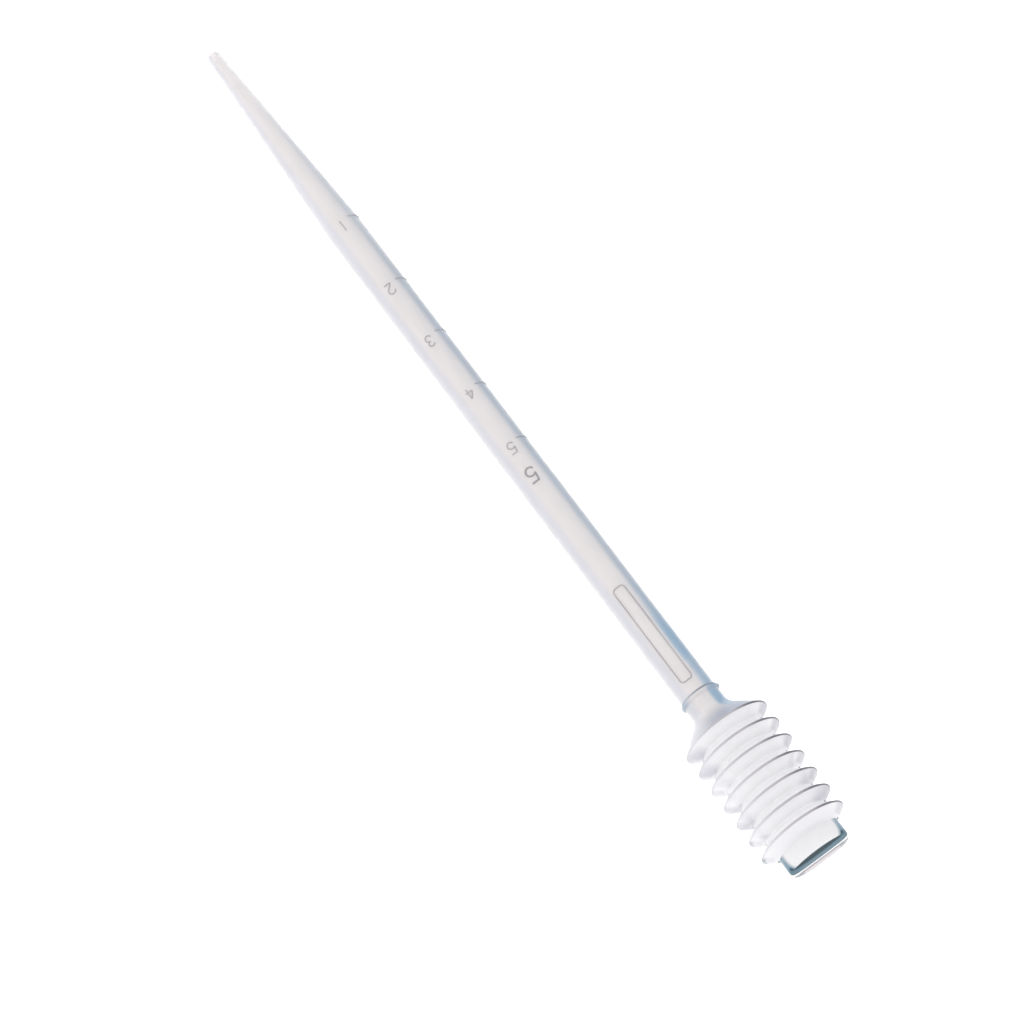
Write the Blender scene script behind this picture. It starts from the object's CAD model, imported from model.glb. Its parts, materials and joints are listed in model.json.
import json
import math

import bmesh
import bpy
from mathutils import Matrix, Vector


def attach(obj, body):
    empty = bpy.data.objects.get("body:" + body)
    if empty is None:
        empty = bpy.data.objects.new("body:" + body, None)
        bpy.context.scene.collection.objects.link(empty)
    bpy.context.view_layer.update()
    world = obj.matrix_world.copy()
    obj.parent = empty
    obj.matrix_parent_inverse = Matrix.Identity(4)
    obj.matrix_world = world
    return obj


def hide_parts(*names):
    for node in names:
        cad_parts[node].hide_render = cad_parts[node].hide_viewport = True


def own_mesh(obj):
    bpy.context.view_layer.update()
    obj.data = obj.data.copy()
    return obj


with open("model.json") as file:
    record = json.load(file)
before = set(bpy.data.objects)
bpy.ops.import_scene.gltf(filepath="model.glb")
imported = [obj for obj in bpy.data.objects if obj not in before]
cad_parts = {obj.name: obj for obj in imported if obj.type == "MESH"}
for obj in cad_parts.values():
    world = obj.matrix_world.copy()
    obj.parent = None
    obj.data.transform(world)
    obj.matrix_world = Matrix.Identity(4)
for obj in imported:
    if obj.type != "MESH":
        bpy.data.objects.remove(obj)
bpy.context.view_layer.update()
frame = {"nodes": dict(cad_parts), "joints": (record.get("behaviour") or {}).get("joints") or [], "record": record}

# A moulded plastic dropper that lies on a white table. Lengths are in metres. A point of the dropper is
# given by its station, which is its distance from the outlet along the axis, its radius, and its
# angle about the axis from the middle of the marked mould half.

MM = 0.001

record = frame["record"]
mounts = {mount["name"]: mount for mount in record["mounts"]}
press = next(joint for joint in frame["joints"] if joint["name"] == "button_press")

ALONG = -Vector(press["axis"]).normalized()
axis_point = Vector(mounts["barrel_shank"]["pos_m"])


def off_axis(point):
    """The part of a point's offset from the axis that is square to it."""
    offset = point - axis_point
    return offset - ALONG * offset.dot(ALONG)


# The weld on the button runs across it in the parting plane, and its tips lie furthest from the axis.
weld_corners = frame["nodes"]["pinch_off_ridge"].data.vertices
weld_tip = max((off_axis(vertex.co) for vertex in weld_corners), key=lambda offset: offset.length)
SIDE = weld_tip.normalized() * math.copysign(1, weld_tip.y)
MIDDLE = ALONG.cross(SIDE)
FOLDS = [f"bellows_fold_{number}" for number in range(1, 8)]
PARTING = math.radians(90)


def vertex_places(node):
    """(distance along the axis from axis_point, radius, angle) of each of a CAD node's vertices."""
    for vertex in frame["nodes"][node].data.vertices:
        offset = vertex.co - axis_point
        along = offset.dot(ALONG)
        yield along, (offset - ALONG * along).length, math.atan2(offset.dot(SIDE), offset.dot(MIDDLE))


OUTLET = axis_point + ALONG * min(along for along, _, _ in vertex_places("tip_nozzle"))


class Zone:
    """Where a CAD node lies: its first and last station, smallest and largest radius and angle."""

    def __init__(self, node):
        back = (axis_point - OUTLET).length
        self.places = [(along + back, radius, angle) for along, radius, angle in vertex_places(node)]
        stations, radii, angles = zip(*self.places)
        self.start, self.end = min(stations), max(stations)
        self.inner, self.outer = min(radii), max(radii)
        self.right, self.left = min(angles), max(angles)

    def radii_at(self, station, reach=0.03 * MM):
        """The smallest and the largest radius at a station."""
        radii = [radius for along, radius, _ in self.places if abs(along - station) < reach]
        return min(radii), max(radii)


def place(station, radius=0.0, angle=0.0):
    """The point at a station, a radius and an angle in radians."""
    return OUTLET + ALONG * station + (MIDDLE * math.cos(angle) + SIDE * math.sin(angle)) * radius


# A radius below ON_AXIS counts as a point on the axis.
ARC_STEP = math.radians(9)
ON_AXIS = 1e-7


def rounded(corners):
    """A path through (x, y, corner radius) corners, with arcs at the corners."""
    path = []
    for index, (x, y, bend) in enumerate(corners):
        here = Vector((x, y))
        if bend == 0 or index in (0, len(corners) - 1):
            path.append(here)
            continue
        back = (Vector(corners[index - 1][:2]) - here).normalized()
        ahead = (Vector(corners[index + 1][:2]) - here).normalized()
        half = back.angle(ahead) / 2
        cut = bend / math.tan(half)
        centre = here + (back + ahead).normalized() * bend / math.sin(half)
        first = here + back * cut - centre
        turn = math.pi - 2 * half
        if first.y * back.x - first.x * back.y < 0:
            turn = -turn
        path += arc(centre, first, turn)
    return path


def arc(centre, first, turn):
    """Points round a centre, from centre + first through the angle turn."""
    count = max(2, math.ceil(abs(turn) / ARC_STEP))
    points = []
    for number in range(count + 1):
        swing = turn * number / count
        cos, sin = math.cos(swing), math.sin(swing)
        points.append(centre + Vector((first.x * cos - first.y * sin, first.x * sin + first.y * cos)))
    return points


def spaced(path, step):
    """The same path with extra points, so that none is further than step from the next."""
    points = [path[0]]
    for start, end in zip(path, path[1:]):
        count = max(1, math.ceil((end - start).length / step))
        points += [start.lerp(end, number / count) for number in range(1, count + 1)]
    return points


def turned(loop, around, seam=0.0):
    """Points and faces of a closed loop of (station, radius) points turned about the axis.

    A loop point may also be (station, radius across, near, far): an oval ring that reaches near to the
    front, and a round one that is cut off flat at far behind.
    The parting line stands out by seam on both sides.
    """
    points, faces, rings = [], [], []
    for x, across, *depths in loop:
        if across < ON_AXIS:
            rings.append([len(points)] * around)
            points.append(place(x))
            continue
        near, far = depths or (across, across)
        rings.append(list(range(len(points), len(points) + around)))
        for number in range(around):
            angle = 2 * math.pi * number / around
            proud = seam if number * 4 in (around, 3 * around) and seam else 0.0
            ahead = math.cos(angle)
            ahead = near * ahead if ahead > 0 else max(across * ahead, -far)
            points.append(place(x) + MIDDLE * ahead + SIDE * ((across + proud) * math.sin(angle)))
    for index, ring in enumerate(rings):
        other = rings[(index + 1) % len(rings)]
        if ring[0] == ring[1] and other[0] == other[1]:
            continue
        for number in range(around):
            after = (number + 1) % around
            corners = [ring[number], other[number], other[after], ring[after]]
            faces.append(list(dict.fromkeys(corners)))
    return points, faces


DOME_STEPS = 8
DOME_SINK = 0.05 * MM
CAP_ANGLES = [math.radians(angle) for angle in (30, 55, 75)]


def dome(path, width, height, lay, closed=False, thin=1.0):
    """Points and faces of a half-round ridge along a path of (u, v) points on a surface.

    lay(u, v, height) gives the point above the surface. The ridge narrows to thin times its width
    at the path's end. Its edges lie DOME_SINK below the surface, and an open ridge has round ends.
    """
    count = len(path)
    sections = []
    for index, here in enumerate(path):
        if closed:
            run = path[(index + 1) % count] - path[index - 1]
        else:
            run = path[min(index + 1, count - 1)] - path[max(index - 1, 0)]
        run.normalize()
        share = 1 if closed or thin == 1 else 1 + (thin - 1) * index / (count - 1)
        sections.append((here, run, share))
    if not closed:
        first, last = sections[0], sections[-1]
        half = width / 2
        for angle in CAP_ANGLES:
            reach = half * math.sin(angle)
            sections.insert(0, (first[0] - first[1] * reach * first[2], first[1], first[2] * math.cos(angle)))
            sections.append((last[0] + last[1] * reach * last[2], last[1], last[2] * math.cos(angle)))
    points, faces = [], []
    for here, run, share in sections:
        across = Vector((-run.y, run.x))
        for number in range(DOME_STEPS + 1):
            t = 2 * number / DOME_STEPS - 1
            rise = -DOME_SINK
            if 0 < number < DOME_STEPS:
                rise = height * min(1.0, share * 1.3) * math.sqrt(1 - t * t)
            spot = here + across * (t * share * width / 2)
            points.append(lay(spot.x, spot.y, rise))
    ring = DOME_STEPS + 1
    rows = len(sections)
    for row in range(rows if closed else rows - 1):
        after = (row + 1) % rows
        for number in range(ring):
            other = (number + 1) % ring
            faces.append(
                [row * ring + number, row * ring + other, after * ring + other, after * ring + number]
            )
    if not closed:
        faces.append(list(range(ring)))
        faces.append([(rows - 1) * ring + number for number in reversed(range(ring))])
    return points, faces


NUB_SIDES = 8
NUB_LEVELS = ((-0.3, 1.0), (0.35, 1.0), (0.8, 0.75), (1.0, 0.35))


def nub(station, radius, angle, tall, length, thick):
    """Flash: a thin rounded fin in the parting plane.

    NUB_LEVELS are its (height, width) as shares of the whole, from inside the wall to its top.
    """
    points, faces = [], []
    for level, share in NUB_LEVELS:
        for number in range(NUB_SIDES):
            swing = 2 * math.pi * number / NUB_SIDES
            along = math.cos(swing) * length / 2 * share
            wide = math.sin(swing) * thick / 2 * share
            points.append(place(station + along, radius + level * tall, angle + wide / radius))
    last = len(NUB_LEVELS) - 1
    for level in range(last):
        for number in range(NUB_SIDES):
            after = (number + 1) % NUB_SIDES
            corners = (level * NUB_SIDES + number, level * NUB_SIDES + after)
            faces.append([*corners, corners[1] + NUB_SIDES, corners[0] + NUB_SIDES])
    faces.append(list(range(NUB_SIDES)))
    faces.append([last * NUB_SIDES + number for number in range(NUB_SIDES)])
    return points, faces


def joined(shapes):
    """Several (points, faces) shapes as one."""
    points, faces = [], []
    for more_points, more_faces in shapes:
        start = len(points)
        points += more_points
        faces += [[start + number for number in face] for face in more_faces]
    return points, faces


SHARP_FROM = math.radians(40)


def add_piece(name, shape, body, material, replaced=(), rim=0.0):
    """Put a finished shape in the scene, smooth but for its real edges, on its body.

    Its vertices carry where they lie on the dropper, in millimetres: station, reach from the axis,
    across and front of it, and ahead, the distance past the station rim. side is the sine of the angle.
    """
    mesh = bpy.data.meshes.new(name)
    mesh.from_pydata(shape[0], [], shape[1])
    tidy = bmesh.new()
    tidy.from_mesh(mesh)
    bmesh.ops.recalc_face_normals(tidy, faces=tidy.faces)
    tidy.to_mesh(mesh)
    tidy.free()
    known = {key: [] for key in ("station", "reach", "across", "front", "ahead", "side")}
    for vertex in mesh.vertices:
        offset = (vertex.co - OUTLET) / MM
        station, across, front = offset.dot(ALONG), offset.dot(SIDE), offset.dot(MIDDLE)
        reach = math.hypot(across, front)
        ahead, side = station - rim / MM, across / max(reach, 0.01)
        for key, value in zip(known, (station, reach, across, front, ahead, side)):
            known[key].append(value)
    for key, values in known.items():
        mesh.attributes.new(key, "FLOAT", "POINT").data.foreach_set("value", values)
    mesh.polygons.foreach_set("use_smooth", [True] * len(mesh.polygons))
    mesh.set_sharp_from_angle(angle=SHARP_FROM)
    mesh.materials.append(material)
    piece = bpy.data.objects.new(name, mesh)
    bpy.context.scene.collection.objects.link(piece)
    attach(piece, body)
    if replaced:
        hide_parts(*replaced)
    return piece


# ---------------------------------------------------------------- measures

nozzle = Zone("tip_nozzle")
taper = Zone("tapered_stem")
barrel = Zone("graduated_barrel")
bead = Zone("retaining_bead")
shoulder = Zone("shoulder")
folds = [Zone(node) for node in FOLDS]
button = Zone("button_wall")
end_wall = Zone("button_end_wall")
marks = [Zone(f"mark_{number}_ml") for number in range(1, 6)]

STEM_FACETS = 128
BULB_FACETS = 192
SEAM = 0.05 * MM
TIP_ROUND = 0.3 * MM
TAPER_ROUND = 3 * MM
BORE_ROUND = 8 * MM
NOZZLE_ROUND = 2 * MM
BEAD_ROUND = 0.25 * MM
BEAD_FLAT = 0.3 * MM
NECK_ROUND = 0.3 * MM
RIM_ROUND = 0.22 * MM
VALLEY_ROUND = 0.4 * MM
VALLEY_FLAT = 0.08 * MM
FOLD_WALL = 0.6 * MM
FLARE = math.radians(50)
FLARE_ROUND = 4 * MM

barrel_radius = barrel.radii_at(barrel.end)[1]
bore_radius = barrel.radii_at(barrel.end)[0]
neck_radius = shoulder.radii_at(shoulder.start)[1]
rim_radius = folds[3].outer
pitch = folds[3].end - folds[3].start
rim_stations = [zone.end - pitch / 2 for zone in folds]
valley_radius = folds[3].radii_at(folds[3].end)[1]
valley_inner = folds[3].radii_at(folds[3].end)[0]
seam_station = shoulder.end

# Where the shoulder's straight flare meets the rounded first rim.
flare_end = Vector((rim_stations[0], rim_radius - RIM_ROUND))
flare_end += Vector((-math.sin(FLARE), math.cos(FLARE))) * RIM_ROUND
seam_radius = flare_end.y - (flare_end.x - seam_station) * math.tan(FLARE)
flare_foot = seam_station - (seam_radius - neck_radius) / math.tan(FLARE)
seam_inner = seam_radius - FOLD_WALL / math.cos(FLARE)
inner_foot = seam_station - (seam_inner - bore_radius) / math.tan(FLARE)

second_mark = (marks[1].start + marks[1].end) / 2
taper_middle = next(
    (station, radius)
    for station, radius in sorted({(round(x, 6), round(r, 6)) for x, r, _ in taper.places})
    if nozzle.end + MM < station < taper.end - MM
)
crest = (bead.start + bead.end) / 2
weld = Zone("pinch_off_ridge")
land_station = weld.start

# ---------------------------------------------------------------- materials


class Nodes:
    """A material's node tree, with short ways to add and join nodes."""

    def __init__(self, name):
        self.material = bpy.data.materials.new(name)
        self.material.use_nodes = True
        self.tree = self.material.node_tree
        self.shader = next(node for node in self.tree.nodes if node.type == "BSDF_PRINCIPLED")

    def add(self, kind, inputs=(), **settings):
        """A node whose inputs are numbers, colours or other nodes' outputs."""
        node = self.tree.nodes.new(kind)
        for key, value in settings.items():
            setattr(node, key, value)
        for key, value in dict(inputs).items():
            if isinstance(value, bpy.types.NodeSocket):
                self.tree.links.new(value, node.inputs[key])
            else:
                node.inputs[key].default_value = value
        return node

    def feed(self, name, value):
        """Give one of the shader's sockets a number, a colour or another node's output."""
        if isinstance(value, bpy.types.NodeSocket):
            self.tree.links.new(value, self.shader.inputs[name])
        else:
            self.shader.inputs[name].default_value = value

    def noise(self, scale, detail, vector):
        """A cloudy number from 0 to 1."""
        return self.add(
            "ShaderNodeTexNoise", {"Scale": scale, "Detail": detail, "Vector": vector}
        ).outputs["Fac"]

    def between(self, factor, start, end, low=0.0, high=1.0):
        """A number that goes evenly from low to high as the factor goes from start to end."""
        limits = {"Value": factor, "From Min": start, "From Max": end, "To Min": low, "To Max": high}
        return self.add("ShaderNodeMapRange", limits).outputs["Result"]

    def known(self, name):
        """One of the numbers that each vertex carries."""
        return self.add("ShaderNodeAttribute", attribute_name=name).outputs["Fac"]

    def math(self, operation, first, second=0.0):
        """The result of a Math node."""
        return self.add("ShaderNodeMath", {0: first, 1: second}, operation=operation).outputs[0]

    def rise(self, value, start, end, low=0.0, high=1.0):
        """A number that goes smoothly from low to high as the value goes from start to end."""
        limits = {"Value": value, "From Min": start, "From Max": end, "To Min": low, "To Max": high}
        return self.add("ShaderNodeMapRange", limits, interpolation_type="SMOOTHSTEP").outputs["Result"]

    def product(self, *factors):
        """All the factors multiplied."""
        result = factors[0]
        for factor in factors[1:]:
            result = self.math("MULTIPLY", result, factor)
        return result

    def tinted(self, colour, factor, tint):
        """A colour that turns to the tint by the factor."""
        node = self.tree.nodes.new("ShaderNodeMix")
        node.data_type = "RGBA"
        sockets = {socket.identifier: socket for socket in node.inputs}
        self.tree.links.new(factor, sockets["Factor_Float"])
        self.tree.links.new(colour, sockets["A_Color"])
        if isinstance(tint, bpy.types.NodeSocket):
            self.tree.links.new(tint, sockets["B_Color"])
        else:
            sockets["B_Color"].default_value = (*tint, 1)
        return next(socket for socket in node.outputs if socket.identifier == "Result_Color")

    def ramp(self, factor, stops):
        """Colours at positions along the factor."""
        node = self.add("ShaderNodeValToRGB", {"Fac": factor})
        elements = node.color_ramp.elements
        while len(elements) < len(stops):
            elements.new(0.5)
        for element, (position, colour) in zip(elements, stops):
            element.position = position
            element.color = (*colour, 1)
        return node.outputs["Color"]


def axis_vector(nodes):
    """Coordinates in which X runs along the dropper, so that streaks can follow it."""
    coordinates = nodes.add("ShaderNodeTexCoord").outputs["Object"]
    turn = ALONG.rotation_difference(Vector((1, 0, 0))).to_euler()
    mapping = nodes.add("ShaderNodeMapping", {"Vector": coordinates, "Rotation": turn})
    return mapping.outputs["Vector"]


# Noise scales per metre, and how much the streaks are drawn out along the dropper.
CLOUD_SCALE = 90
STREAK_SCALE = 900
PEEL_SCALE = 2600
STREAK_SQUEEZE = (0.12, 1, 1)
ROUGHNESS_SPREAD = 0.04


def moulded_plastic(name, colours, transmission, roughness, grain=1.0, specular=0.5, tint=None):
    """Milky polyethylene: cloudy tone, streaks along the mould, a fine orange-peel surface.

    The roughness keeps clear of 0.27: when it varied across that, renders showed cracks in the shading.
    tint(nodes, colour, cloud) may change the colour over the surface.
    """
    nodes = Nodes(name)
    vector = axis_vector(nodes)
    streaked = nodes.add("ShaderNodeVectorMath", {0: vector, 1: STREAK_SQUEEZE}, operation="MULTIPLY")
    cloud = nodes.noise(CLOUD_SCALE, 3, vector)
    streak = nodes.noise(STREAK_SCALE, 2, streaked.outputs["Vector"])
    mixed = nodes.math("MULTIPLY", nodes.math("ADD", cloud, streak), 0.5)
    colour = nodes.ramp(mixed, [(0.35, colours[0]), (0.65, colours[1])])
    if tint:
        colour = tint(nodes, colour, cloud)
    nodes.feed("Base Color", colour)
    low, high = roughness - ROUGHNESS_SPREAD, roughness + ROUGHNESS_SPREAD
    nodes.feed("Roughness", nodes.between(cloud, 0.3, 0.7, low, high))
    nodes.feed("Transmission Weight", transmission)
    nodes.feed("IOR", 1.5)
    nodes.feed("Specular IOR Level", specular)
    peel = nodes.noise(PEEL_SCALE, 3, vector)
    bump = nodes.add("ShaderNodeBump", {"Strength": 0.12 * grain, "Distance": 0.05 * MM, "Height": peel})
    lines = nodes.add(
        "ShaderNodeBump",
        {"Strength": 0.1 * grain, "Distance": 0.1 * MM, "Height": streak, "Normal": bump.outputs["Normal"]},
    )
    nodes.feed("Normal", lines.outputs["Normal"])
    return nodes.material


# The tints stand for the darkness of a wall that is seen edge on. Their limits in the functions below
# are in millimetres, but for those of side, which is the sine of the angle, and of cloud.
LAVENDER = (0.80, 0.795, 0.84)
EDGE_GREY = (0.70, 0.73, 0.775)
EDGE_BLUE = (0.47, 0.62, 0.75)
FLARE_GREY = (0.50, 0.53, 0.62)
BEAD_BLUE = (0.42, 0.52, 0.63)
BEAD_LINE = (0.27, 0.30, 0.38)
THIN_RIM = (0.90, 0.89, 0.91)
SMUDGE = (0.70, 0.69, 0.74)
LAST_FACE = (0.85, 0.84, 0.855)
FOLD_END = (0.50, 0.49, 0.54)
DARK_TIP = (0.30, 0.34, 0.37)
RIM_MAUVE = (0.25, 0.21, 0.245)
RIM_DARK = (0.07, 0.07, 0.09)
FLASH_GREY = (0.3, 0.31, 0.36)
BUTTON_EDGE = (0.15, 0.26, 0.34)
FAR_MAUVE = (0.30, 0.24, 0.27)
CORNER_TEAL = (0.02, 0.06, 0.08)
WELD_WHITE = (0.96, 0.97, 0.98)
WELD_SHADE = (0.05, 0.09, 0.11)
NEAR_TEAL = (0.14, 0.23, 0.28)
NEAR_TEAL_OUT = (0.11, 0.19, 0.24)
UPPER_EDGE = (0.0, 0.03, 0.045)
WELD_TOP = (0.22, 0.18, 0.205)


def stem_tint(nodes, colour, cloud):
    """Lavender towards one side of the tube, and blue towards the other, where the wall is seen edge on."""
    station, side = nodes.known("station"), nodes.known("side")
    bead_start = bead.start / MM
    left = nodes.product(nodes.rise(side, -0.3, -0.72), nodes.rise(side, -0.8, -1.0, 1.0, 0.5))
    colour = nodes.tinted(colour, left, LAVENDER)
    # The blue side: a narrow line along the tube that spreads inwards before the bead.
    spread = nodes.rise(station, bead_start - 34, bead_start - 12)
    outer = nodes.rise(side, 0.83, 1.0, 1.0, 0.2)
    narrow = nodes.product(nodes.rise(side, 0.5, 0.76), outer)
    wide = nodes.product(nodes.rise(side, 0.4, 0.6), outer)
    grey = nodes.rise(station, nozzle.start / MM, marks[3].end / MM, 0.1, 0.9)
    colour = nodes.tinted(colour, nodes.product(narrow, grey), EDGE_GREY)
    blue = nodes.rise(station, bead_start - 45, bead_start - 8)
    patch = nodes.rise(cloud, 0.35, 0.6, 0.45, 1.0)
    colour = nodes.tinted(colour, nodes.product(narrow, blue, patch), EDGE_BLUE)
    colour = nodes.tinted(colour, nodes.product(wide, spread, patch), EDGE_BLUE)
    # The flare darkens towards the first rim, most on the blue side.
    flare = nodes.rise(station, flare_foot / MM, rim_stations[0] / MM - 0.8)
    slant = nodes.rise(side, -0.9, 0.35, 0.25, 1.0)
    colour = nodes.tinted(colour, nodes.product(flare, slant), FLARE_GREY)
    # The bead: a dark line on its front edge, and bluer ends.
    line_off = nodes.math("ABSOLUTE", nodes.math("SUBTRACT", station, crest / MM - 0.45))
    line = nodes.product(nodes.rise(line_off, 0.15, 0.4, 1.0, 0.0), nodes.rise(side, -0.8, 0.6, 0.6, 1.0))
    bead_off = nodes.math("ABSOLUTE", nodes.math("SUBTRACT", station, crest / MM))
    ends = nodes.product(
        nodes.rise(bead_off, 0.7, 1.0, 0.8, 0.0), nodes.rise(nodes.math("ABSOLUTE", side), 0.5, 0.9)
    )
    colour = nodes.tinted(colour, ends, BEAD_BLUE)
    return nodes.tinted(colour, line, BEAD_LINE)


def bellows_tint(nodes, colour, cloud):
    """A mauve line on each rim, where the folded wall is thickest, and faint smudges at its two ends."""
    reach, ahead, side = (nodes.known(key) for key in ("reach", "ahead", "side"))
    rim = rim_radius / MM
    behind = nodes.rise(reach, rim - 0.3, rim - 0.1)
    before = nodes.rise(reach, rim - 0.8, rim - 0.15)
    front_half = nodes.rise(ahead, 0.04, -0.04)
    crest_line = nodes.math(
        "ADD",
        nodes.product(front_half, before),
        nodes.product(nodes.math("SUBTRACT", 1.0, front_half), behind),
    )
    left = nodes.rise(side, -0.95, 0.2, 0.25, 0.62)
    right = nodes.rise(side, 0.2, 0.9, 0.0, 0.38)
    strength = nodes.math("ADD", left, right)
    # The wall is thinner and a little less white at the rim.
    colour = nodes.tinted(colour, nodes.rise(reach, rim - 1.6, rim), THIN_RIM)
    smudge = nodes.product(nodes.rise(nodes.math("ABSOLUTE", side), 0.6, 0.95), nodes.rise(cloud, 0.42, 0.6))
    colour = nodes.tinted(colour, nodes.product(smudge, nodes.rise(ahead, 0.0, 0.4)), SMUDGE)
    # No other fold shades the last face, so it is tinted to match the rest.
    station = nodes.known("station")
    last = nodes.rise(station, rim_stations[6] / MM, rim_stations[6] / MM + 0.4)
    colour = nodes.tinted(colour, last, LAST_FACE)
    # The folds are seen edge on at their ends, more so on the blue side.
    blue_end = nodes.rise(side, 0.88, 0.99, 0.0, 0.75)
    other_end = nodes.rise(side, -0.92, -0.995, 0.0, 0.45)
    off_valley = nodes.rise(reach, valley_radius / MM + 0.4, valley_radius / MM + 1.2)
    edge = nodes.product(off_valley, nodes.math("MAXIMUM", blue_end, other_end))
    colour = nodes.tinted(colour, edge, FOLD_END)
    # The last rims have a dark tip on the far side from the blue one.
    tip = nodes.product(
        nodes.rise(side, -0.94, -0.995),
        nodes.rise(reach, rim - 1.0, rim - 0.3),
        nodes.rise(station, rim_stations[4] / MM, rim_stations[6] / MM),
    )
    colour = nodes.tinted(colour, tip, DARK_TIP)
    colour = nodes.tinted(colour, nodes.product(crest_line, strength), RIM_MAUVE)
    # Towards the blue side the line turns darker.
    dark_end = nodes.rise(side, 0.3, 0.8, 0.0, 0.75)
    return nodes.tinted(colour, nodes.product(crest_line, dark_end), RIM_DARK)


def flash_tint(nodes, colour, cloud):
    """Dark on the blue side, and on both sides of the button's root."""
    station, side = nodes.known("station"), nodes.known("side")
    root = nodes.rise(station, folds[-1].end / MM - 2, folds[-1].end / MM - 1.5)
    dark = nodes.math("MAXIMUM", root, nodes.rise(side, -0.5, 0.5))
    return nodes.tinted(colour, dark, FLASH_GREY)


def button_tint(nodes, colour, cloud):
    """Blue-grey where the side wall is seen edge on, and teal where the welded end is solid plastic."""
    station, front = nodes.known("station"), nodes.known("front")
    across = nodes.math("ABSOLUTE", nodes.known("across"))
    aside = nodes.math("ABSOLUTE", nodes.known("side"))
    from_end = nodes.math("SUBTRACT", land_station / MM, station)
    strips = nodes.product(nodes.rise(aside, 0.80, 0.93), nodes.rise(from_end, 6.0, 1.0, 0.8, 1.0))
    colour = nodes.tinted(colour, strips, BUTTON_EDGE)
    # The far slope: mauve by the weld, paler outwards, and teal at the two corners.
    end = nodes.rise(from_end, 1.3, 1.9, 1.0, 0.0)
    beyond = nodes.product(nodes.rise(front, -0.3, -0.5), end)
    inwards = nodes.rise(front, -6.0, -1.5, 0.8, 1.0)
    colour = nodes.tinted(colour, nodes.product(beyond, inwards), FAR_MAUVE)
    corner = nodes.rise(across, 4.7, 5.7)
    colour = nodes.tinted(colour, nodes.product(beyond, corner), CORNER_TEAL)
    # The near slope: a dark line at its upper edge, a paler middle and a white line by the weld.
    foot = nodes.product(end, nodes.rise(aside, 0.86, 0.94))
    near = nodes.math("MAXIMUM", nodes.rise(from_end, 0.76, 0.86, 1.0, 0.0), foot)
    bands = nodes.ramp(
        nodes.between(front, -1.0, 4.0),
        [
            (0.25, WELD_WHITE),
            (0.33, WELD_WHITE),
            (0.37, WELD_SHADE),
            (0.43, NEAR_TEAL),
            (0.69, NEAR_TEAL_OUT),
            (0.82, UPPER_EDGE),
        ],
    )
    return nodes.tinted(colour, nodes.product(near, nodes.rise(front, -0.2, 0.0)), bands)


def weld_tint(nodes, colour, cloud):
    """The weld is white at its foot and dark along its top."""
    above = nodes.math("SUBTRACT", nodes.known("station"), land_station / MM)
    return nodes.tinted(colour, nodes.rise(above, 0.10, 0.16), WELD_TOP)


stem_plastic = moulded_plastic(
    "stem_plastic", [(0.905, 0.865, 0.85), (0.94, 0.90, 0.885)],
    transmission=0.42, roughness=0.34, tint=stem_tint,
)
bellows_plastic = moulded_plastic(
    "bellows_plastic", [(0.965, 0.955, 0.963), (0.985, 0.975, 0.983)],
    transmission=0.2, roughness=0.34, tint=bellows_tint,
)
button_plastic = moulded_plastic(
    "button_plastic", [(0.84, 0.825, 0.835), (0.87, 0.855, 0.86)],
    transmission=0.2, roughness=0.1, grain=0.3, specular=0.05, tint=button_tint,
)
weld_plastic = moulded_plastic(
    "weld_plastic", [(0.95, 0.95, 0.96), (0.97, 0.97, 0.98)],
    transmission=0.2, roughness=0.1, grain=0.3, tint=weld_tint,
)
flash_plastic = moulded_plastic(
    "flash_plastic", [(0.88, 0.87, 0.89), (0.92, 0.91, 0.93)],
    transmission=0.2, roughness=0.2, tint=flash_tint,
)
raised_marks = moulded_plastic(
    "raised_marks", [(0.50, 0.46, 0.48), (0.60, 0.56, 0.57)], transmission=0.3, roughness=0.34
)
large_mark = moulded_plastic(
    "large_mark", [(0.38, 0.35, 0.37), (0.46, 0.42, 0.44)], transmission=0.3, roughness=0.34
)

# ---------------------------------------------------------------- stem

stem_loop = rounded(
    [
        (0, nozzle.inner, 0),
        (0, nozzle.radii_at(0.25 * MM)[1], TIP_ROUND),
        (taper.end, barrel_radius, TAPER_ROUND),
        (bead.start, barrel_radius, BEAD_ROUND),
        (crest - BEAD_FLAT, bead.outer, BEAD_ROUND),
        (crest + BEAD_FLAT, bead.outer, BEAD_ROUND),
        (bead.end, neck_radius, NECK_ROUND),
        (flare_foot, neck_radius, FLARE_ROUND),
        (seam_station, seam_radius, 0),
        (seam_station, seam_inner, 0),
        (inner_foot, bore_radius, FLARE_ROUND),
        (second_mark, bore_radius, BORE_ROUND),
        (taper.end, taper.radii_at(taper.end)[0], BORE_ROUND),
        (*taper_middle, BORE_ROUND),
        (nozzle.end, nozzle.inner, NOZZLE_ROUND),
        (0, nozzle.inner, 0),
    ]
)[:-1]
stem_loop = spaced(stem_loop + stem_loop[:1], 6 * MM)[:-1]
add_piece(
    "stem_shell",
    turned(stem_loop, STEM_FACETS, seam=SEAM),
    "stem",
    stem_plastic,
    ["tip_nozzle", "tapered_stem", "graduated_barrel", "retaining_bead", "shoulder"],
)

add_piece(
    "flash_bead",
    nub(crest, bead.outer - 0.15 * MM, PARTING, tall=0.3 * MM, length=1.1 * MM, thick=0.7 * MM),
    "stem", flash_plastic,
)

# ---------------------------------------------------------------- bellows


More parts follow.
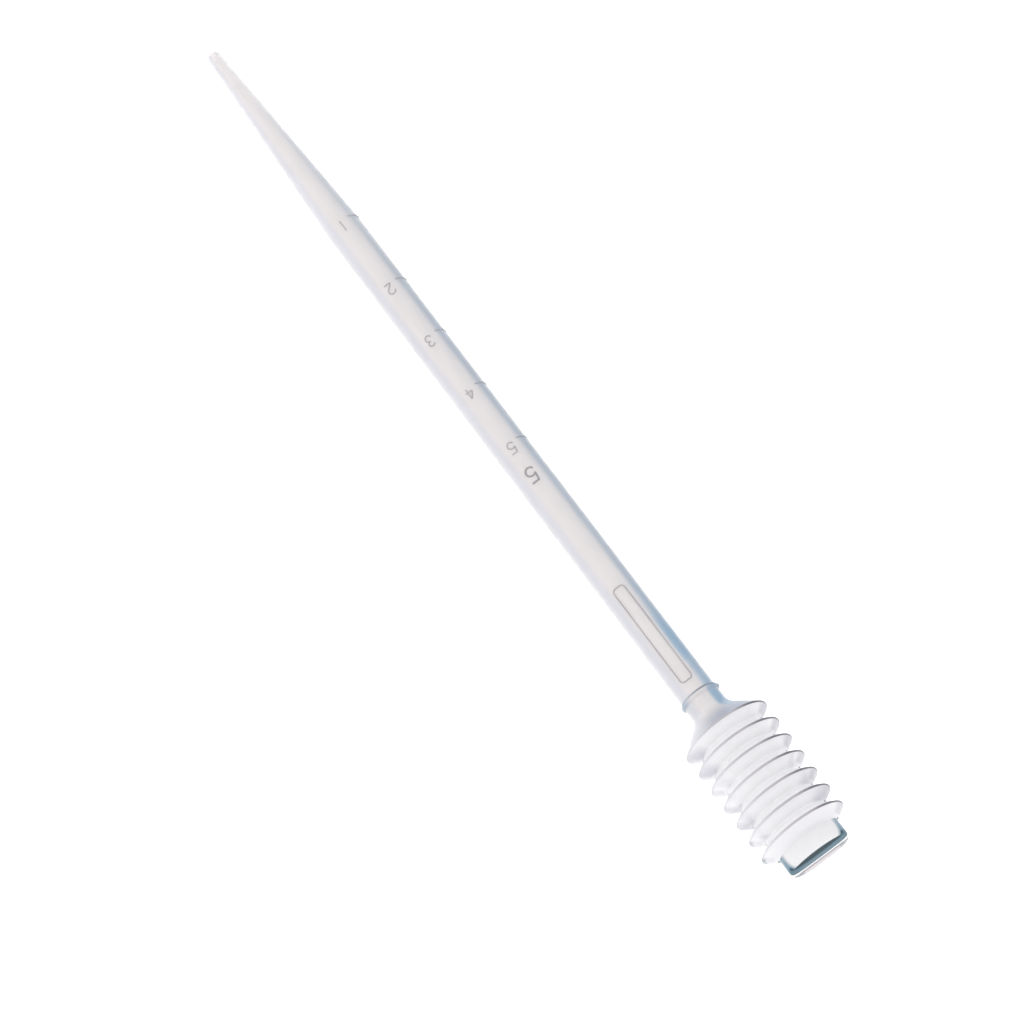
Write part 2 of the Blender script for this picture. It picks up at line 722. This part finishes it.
def fold_half(side, inner):
    """(station, radius) points from a rim's crest to the middle of a valley, about a rim at station 0.

    side is 1 for the half towards the button. The inner skin lies one wall further in.
    """
    valley = Vector((pitch / 2 - VALLEY_FLAT, valley_radius + VALLEY_ROUND))
    top = Vector((0, rim_radius - RIM_ROUND))
    span = valley - top
    steep = math.atan2(-span.y, span.x) + math.asin((RIM_ROUND + VALLEY_ROUND) / span.length)
    if inner:
        peak = rim_radius - RIM_ROUND - (FOLD_WALL - RIM_ROUND) / math.cos(steep)
        points = [Vector((0, peak))]
        dip = VALLEY_ROUND + FOLD_WALL
    else:
        points = arc(top, Vector((0, RIM_ROUND)), -steep)
        dip = VALLEY_ROUND
    start = Vector((-math.sin(steep), -math.cos(steep))) * dip
    points += arc(valley, start, steep)
    points.append(Vector((pitch / 2, valley_inner if inner else valley_radius)))
    return [Vector((point.x * side, point.y)) for point in points]


def fold_loop(number):
    """The closed outline of one fold."""
    rim = rim_stations[number]
    outer_back = fold_half(1, False)
    inner_back = fold_half(1, True)
    if number == 0:
        seam = seam_station - rim
        outer_front = arc(Vector((0, rim_radius - RIM_ROUND)), Vector((0, RIM_ROUND)), FLARE)[1:]
        outer_front.append(Vector((seam, seam_radius)))
        inner_front = [Vector((seam, seam_inner))]
    else:
        outer_front = fold_half(-1, False)[1:]
        inner_front = fold_half(-1, True)[1:]
    loop = outer_back + inner_back[::-1] + inner_front + outer_front[::-1]
    return [(point.x + rim, point.y) for point in loop]


for number, node in enumerate(FOLDS):
    body = "stem" if number == 0 else f"fold_{number + 1}"
    anchor = seam_station if number == 0 else folds[number].start
    fold_shape = turned(fold_loop(number), BULB_FACETS)
    fold_piece = add_piece(
        f"bellows_{number + 1}", fold_shape, body, bellows_plastic, [node],
        rim_stations[number],
    )
    valley = folds[number].end - 0.3 * MM
    flash = [
        nub(valley, valley_radius, angle, tall=0.38 * MM, length=0.5 * MM, thick=0.3 * MM)
        for angle in (PARTING, -PARTING)
    ]
    flash_piece = add_piece(f"flash_{number + 1}", joined(flash), body, flash_plastic)
    for piece in (fold_piece, flash_piece):
        place(anchor)
        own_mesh(piece)

# ---------------------------------------------------------------- button

button_radius = button.radii_at(button.end)[1]
button_inner = button.radii_at(button.end)[0]
END_ROUND = 1.2 * MM
NEAR_FALL = 1.3 * MM
FAR_FALL = 0.9 * MM
LAND = 0.35 * MM
SHOULDER_ROUND = 3.4 * MM
FAR_ROUND = 0.7 * MM


def half_width(station):
    """The button's radius across, in the parting plane, with its rounded corner."""
    into = station - (land_station - END_ROUND)
    if into <= 0:
        return button_radius
    return button_radius - END_ROUND + math.sqrt(max(0, END_ROUND**2 - into**2))


def end_profile(fall, bend):
    """(station, distance from the parting plane) of the wall and a slope, with a rounded edge."""
    root = (button.start + 0.5 * MM, button_radius, 0)
    return rounded([root, (land_station - fall, button_radius, bend), (land_station, LAND, 0)])


def depth_at(profile, station):
    """How far from the parting plane a profile lies at a station."""
    for start, end in zip(profile, profile[1:]):
        if start.x <= station <= end.x:
            return start.lerp(end, (station - start.x) / max(end.x - start.x, 1e-9)).y
    return profile[-1].y


near_profile = spaced(end_profile(NEAR_FALL, SHOULDER_ROUND), 0.3 * MM)
far_profile = end_profile(FAR_FALL, FAR_ROUND)
inside = rounded(
    [
        (end_wall.start, 0, 0),
        (end_wall.start, button_inner, 2.0 * MM),
        (button.start + 0.8 * MM, button_inner, 0.4 * MM),
        (button.start, valley_inner, 0),
    ]
)
button_loop = [(button.start, valley_radius), (button.start + 0.1 * MM, valley_radius)]
button_loop += [(x, half_width(x), near, depth_at(far_profile, x)) for x, near in near_profile]
button_loop += [(land_station, 0)] + inside
add_piece(
    "push_button", turned(button_loop, BULB_FACETS), "button", button_plastic,
    ["button_wall", "button_end_wall"],
)


def on_end(u, v, rise):
    """A point over the strip between the end wall's slopes."""
    return place(land_station + rise) + SIDE * u + MIDDLE * v


RIDGE_WIDTH = 0.5 * MM
half_run = weld.outer - RIDGE_WIDTH / 2
ridge_path = spaced([Vector((-half_run, 0)), Vector((half_run, 0))], 0.5 * MM)
ridge = dome(ridge_path, RIDGE_WIDTH, weld.end - weld.start, on_end)
add_piece("pinch_ridge", ridge, "button", weld_plastic, ["pinch_off_ridge"])

# ---------------------------------------------------------------- marks and figures

RELIEF = 0.2 * MM
MARK_THIN = 0.6
FIGURE_STROKE = 0.38 * MM
LARGE_STROKE = 0.55 * MM
PANEL_STROKE = 0.4 * MM
PANEL_BEND = 1.0 * MM


def on_barrel(station, angle):
    """A mapping from (across, up) near a station and an angle to a point over the barrel."""

    def lay(across, up, rise):
        return place(station + up, barrel_radius + rise, angle - across / barrel_radius)

    return lay


for number, zone in enumerate(marks, start=1):
    width = zone.end - zone.start
    length = (zone.left - zone.right) * barrel_radius
    path = spaced([Vector((0, 0)), Vector((length - width / 2, 0))], 0.2 * MM)
    shape = dome(path, width, RELIEF, on_barrel((zone.start + zone.end) / 2, zone.left), thin=MARK_THIN)
    add_piece(f"tick_{number}", shape, "stem", raised_marks, [f"mark_{number}_ml"])


def bowl(across, up, radius, start, end):
    """Points clockwise round (across, up), from the angle start to the angle end in degrees."""
    first = Vector((math.cos(math.radians(start)), math.sin(math.radians(start)))) * radius
    return arc(Vector((across, up)), first, math.radians(end - start))


def softened(points, bend):
    """Straight lines through points, with small arcs at the corners."""
    return rounded([(point[0], point[1], bend) for point in points])


def figure_paths(figure, width, height):
    """The centre lines of a figure, in a box of the given size with its corner at 0, 0."""
    half = width / 2
    bend = width * 0.08
    if figure == 1:
        return [[Vector((half, 0)), Vector((half, height))]]
    if figure == 2:
        curve = bowl(half, height - half, half, 170, -35)
        return [curve[:-1] + softened([curve[-1], (0, 0), (width, 0)], bend)]
    if figure == 3:
        upper = height * 0.23
        lower = height / 2 - upper
        return [bowl(half, height - upper, upper, 155, -90), bowl(half, lower, lower, 90, -155)]
    if figure == 4:
        post = width * 0.7
        bar = height * 0.3
        return [softened([(post, 0), (post, height), (0, bar), (width, bar)], bend)]
    radius = height * 0.29
    across = width * 0.95 - radius
    curve = bowl(across, radius, radius, 142, -145)
    flag = softened([(width * 0.9, height), (width * 0.12, height), curve[0]], bend)
    return [flag[:-1] + curve]


def stroke_field(zone, stroke):
    """The mapping to a zone's lower left corner, and the width and height left for centre lines."""
    lay = on_barrel(zone.start + stroke / 2, zone.left - stroke / 2 / barrel_radius)
    width = (zone.left - zone.right) * barrel_radius - stroke
    return lay, width, zone.end - zone.start - stroke


def add_figure(name, node, figure, stroke, material):
    """Raise a figure where its CAD node stands."""
    lay, width, height = stroke_field(Zone(node), stroke)
    if figure == 1:
        width = 0
    paths = figure_paths(figure, width, height)
    shapes = [dome(spaced(path, 0.12 * MM), stroke, RELIEF, lay) for path in paths]
    add_piece(name, joined(shapes), "stem", material, [node])


for number in range(1, 6):
    add_figure(f"numeral_{number}", f"figure_{number}", number, FIGURE_STROKE, raised_marks)
add_figure("numeral_large_5", "capacity_figure_5", 5, LARGE_STROKE, large_mark)

lay, wide, long = stroke_field(Zone("blank_name_panel"), PANEL_STROKE)
middle = (0, long / 2, 0)
turns = [(x, y, PANEL_BEND) for x, y in ((0, long), (wide, long), (wide, 0), (0, 0))]
outline = spaced(rounded([middle, *turns, middle]), 0.3 * MM)[:-1]
panel = dome(outline, PANEL_STROKE, RELIEF, lay, closed=True)
add_piece("name_panel", panel, "stem", raised_marks, ["blank_name_panel"])

# ---------------------------------------------------------------- table, light and camera


def flat_sheet(name, centre, right, up, width, height):
    """A flat stage panel."""
    signs = ((-1, -1), (1, -1), (1, 1), (-1, 1))
    corners = [centre + right * (x * width / 2) + up * (y * height / 2) for x, y in signs]
    mesh = bpy.data.meshes.new(name)
    mesh.from_pydata(corners, [], [(0, 1, 2, 3)])
    sheet = bpy.data.objects.new(name, mesh)
    bpy.context.scene.collection.objects.link(sheet)
    return sheet


# The table and the world are a little brighter than white, so that the background is plain white.
TABLE_SIZE = 6
TABLE_DROP = 0.05 * MM
TABLE_GLOW = 1.15
WORLD_GLOW = 1.19

floor = flat_sheet(
    "table", Vector((0, 0, -TABLE_DROP)), Vector((1, 0, 0)), Vector((0, 1, 0)), TABLE_SIZE, TABLE_SIZE
)
table_paint = Nodes("table_paint")
table_paint.feed("Base Color", (0.3, 0.3, 0.3, 1))
table_paint.feed("Roughness", 0.9)
table_paint.feed("Emission Color", (1, 1, 1, 1))
table_paint.feed("Emission Strength", TABLE_GLOW)
floor.data.materials.append(table_paint.material)

world = bpy.data.worlds.new("studio")
bpy.context.scene.world = world
world.use_nodes = True
background = world.node_tree.nodes["Background"].inputs
background["Color"].default_value = (0.97, 0.98, 1.0, 1)
background["Strength"].default_value = WORLD_GLOW

# A square soft box, warmer than the world, which looks at the origin.
KEY_PLACE = Vector((-0.6, -0.7, 1.1))
key = bpy.data.lights.new("key", "AREA")
key.shape = "SQUARE"
key.size = 1.4
key.energy = 1.2
key.color = (1, 0.97, 0.94)
lamp = bpy.data.objects.new("key", key)
lamp.location = KEY_PLACE
lamp.rotation_mode = "QUATERNION"
lamp.rotation_quaternion = (-KEY_PLACE).to_track_quat("-Z", "Y")
bpy.context.scene.collection.objects.link(lamp)

# A matte blue card along the tube, which shapes its reflections and shade. The camera doesn't see it.
CARD_AWAY = 0.03
CARD_HEIGHT = 0.03
card_start, card_end = place(taper.start), place(bead.end)
card = flat_sheet(
    "blue_card",
    Vector(((card_start.x + card_end.x) / 2, CARD_AWAY, CARD_HEIGHT / 2)),
    Vector((1, 0, 0)),
    Vector((0, 0, 1)),
    card_end.x - card_start.x,
    CARD_HEIGHT,
)
card_paint = Nodes("blue_card_paint")
card_paint.feed("Base Color", (0, 0, 0, 1))
card_paint.feed("Specular IOR Level", 0.0)
card_paint.feed("Emission Color", (0.35, 0.5, 0.65, 1))
card_paint.feed("Emission Strength", 1.0)
card.data.materials.append(card_paint.material)
card.visible_camera = False

# The camera that was fitted to the photo: its direction, its distance from a point on the axis, and
# how far it is moved sideways and down, which sets where the dropper lies in the picture.
AZIMUTH = math.radians(56.49)
ELEVATION = math.radians(64.59)
AIM_STATION = 160.1 * MM
MOVED_LEFT = 7.508 * MM
MOVED_DOWN = 5.633 * MM
DISTANCE = 721.2 * MM
right = Vector((math.cos(AZIMUTH), math.sin(AZIMUTH), 0))
level = Vector((math.sin(AZIMUTH), -math.cos(AZIMUTH), 0))
back = level * math.cos(ELEVATION) + Vector((0, 0, math.sin(ELEVATION)))
up = back.cross(right)
camera_data = bpy.data.cameras.new("camera")
camera_data.lens = 101.95
camera_data.sensor_width = 36
camera_data.clip_start = 0.05
camera_data.clip_end = 20
camera = bpy.data.objects.new("camera", camera_data)
camera.location = place(AIM_STATION) - right * MOVED_LEFT - up * MOVED_DOWN + back * DISTANCE
camera.rotation_mode = "QUATERNION"
camera.rotation_quaternion = (-back).to_track_quat("-Z", "Y")
bpy.context.scene.collection.objects.link(camera)
bpy.context.scene.camera = camera
bpy.context.scene.view_settings.view_transform = "Standard"
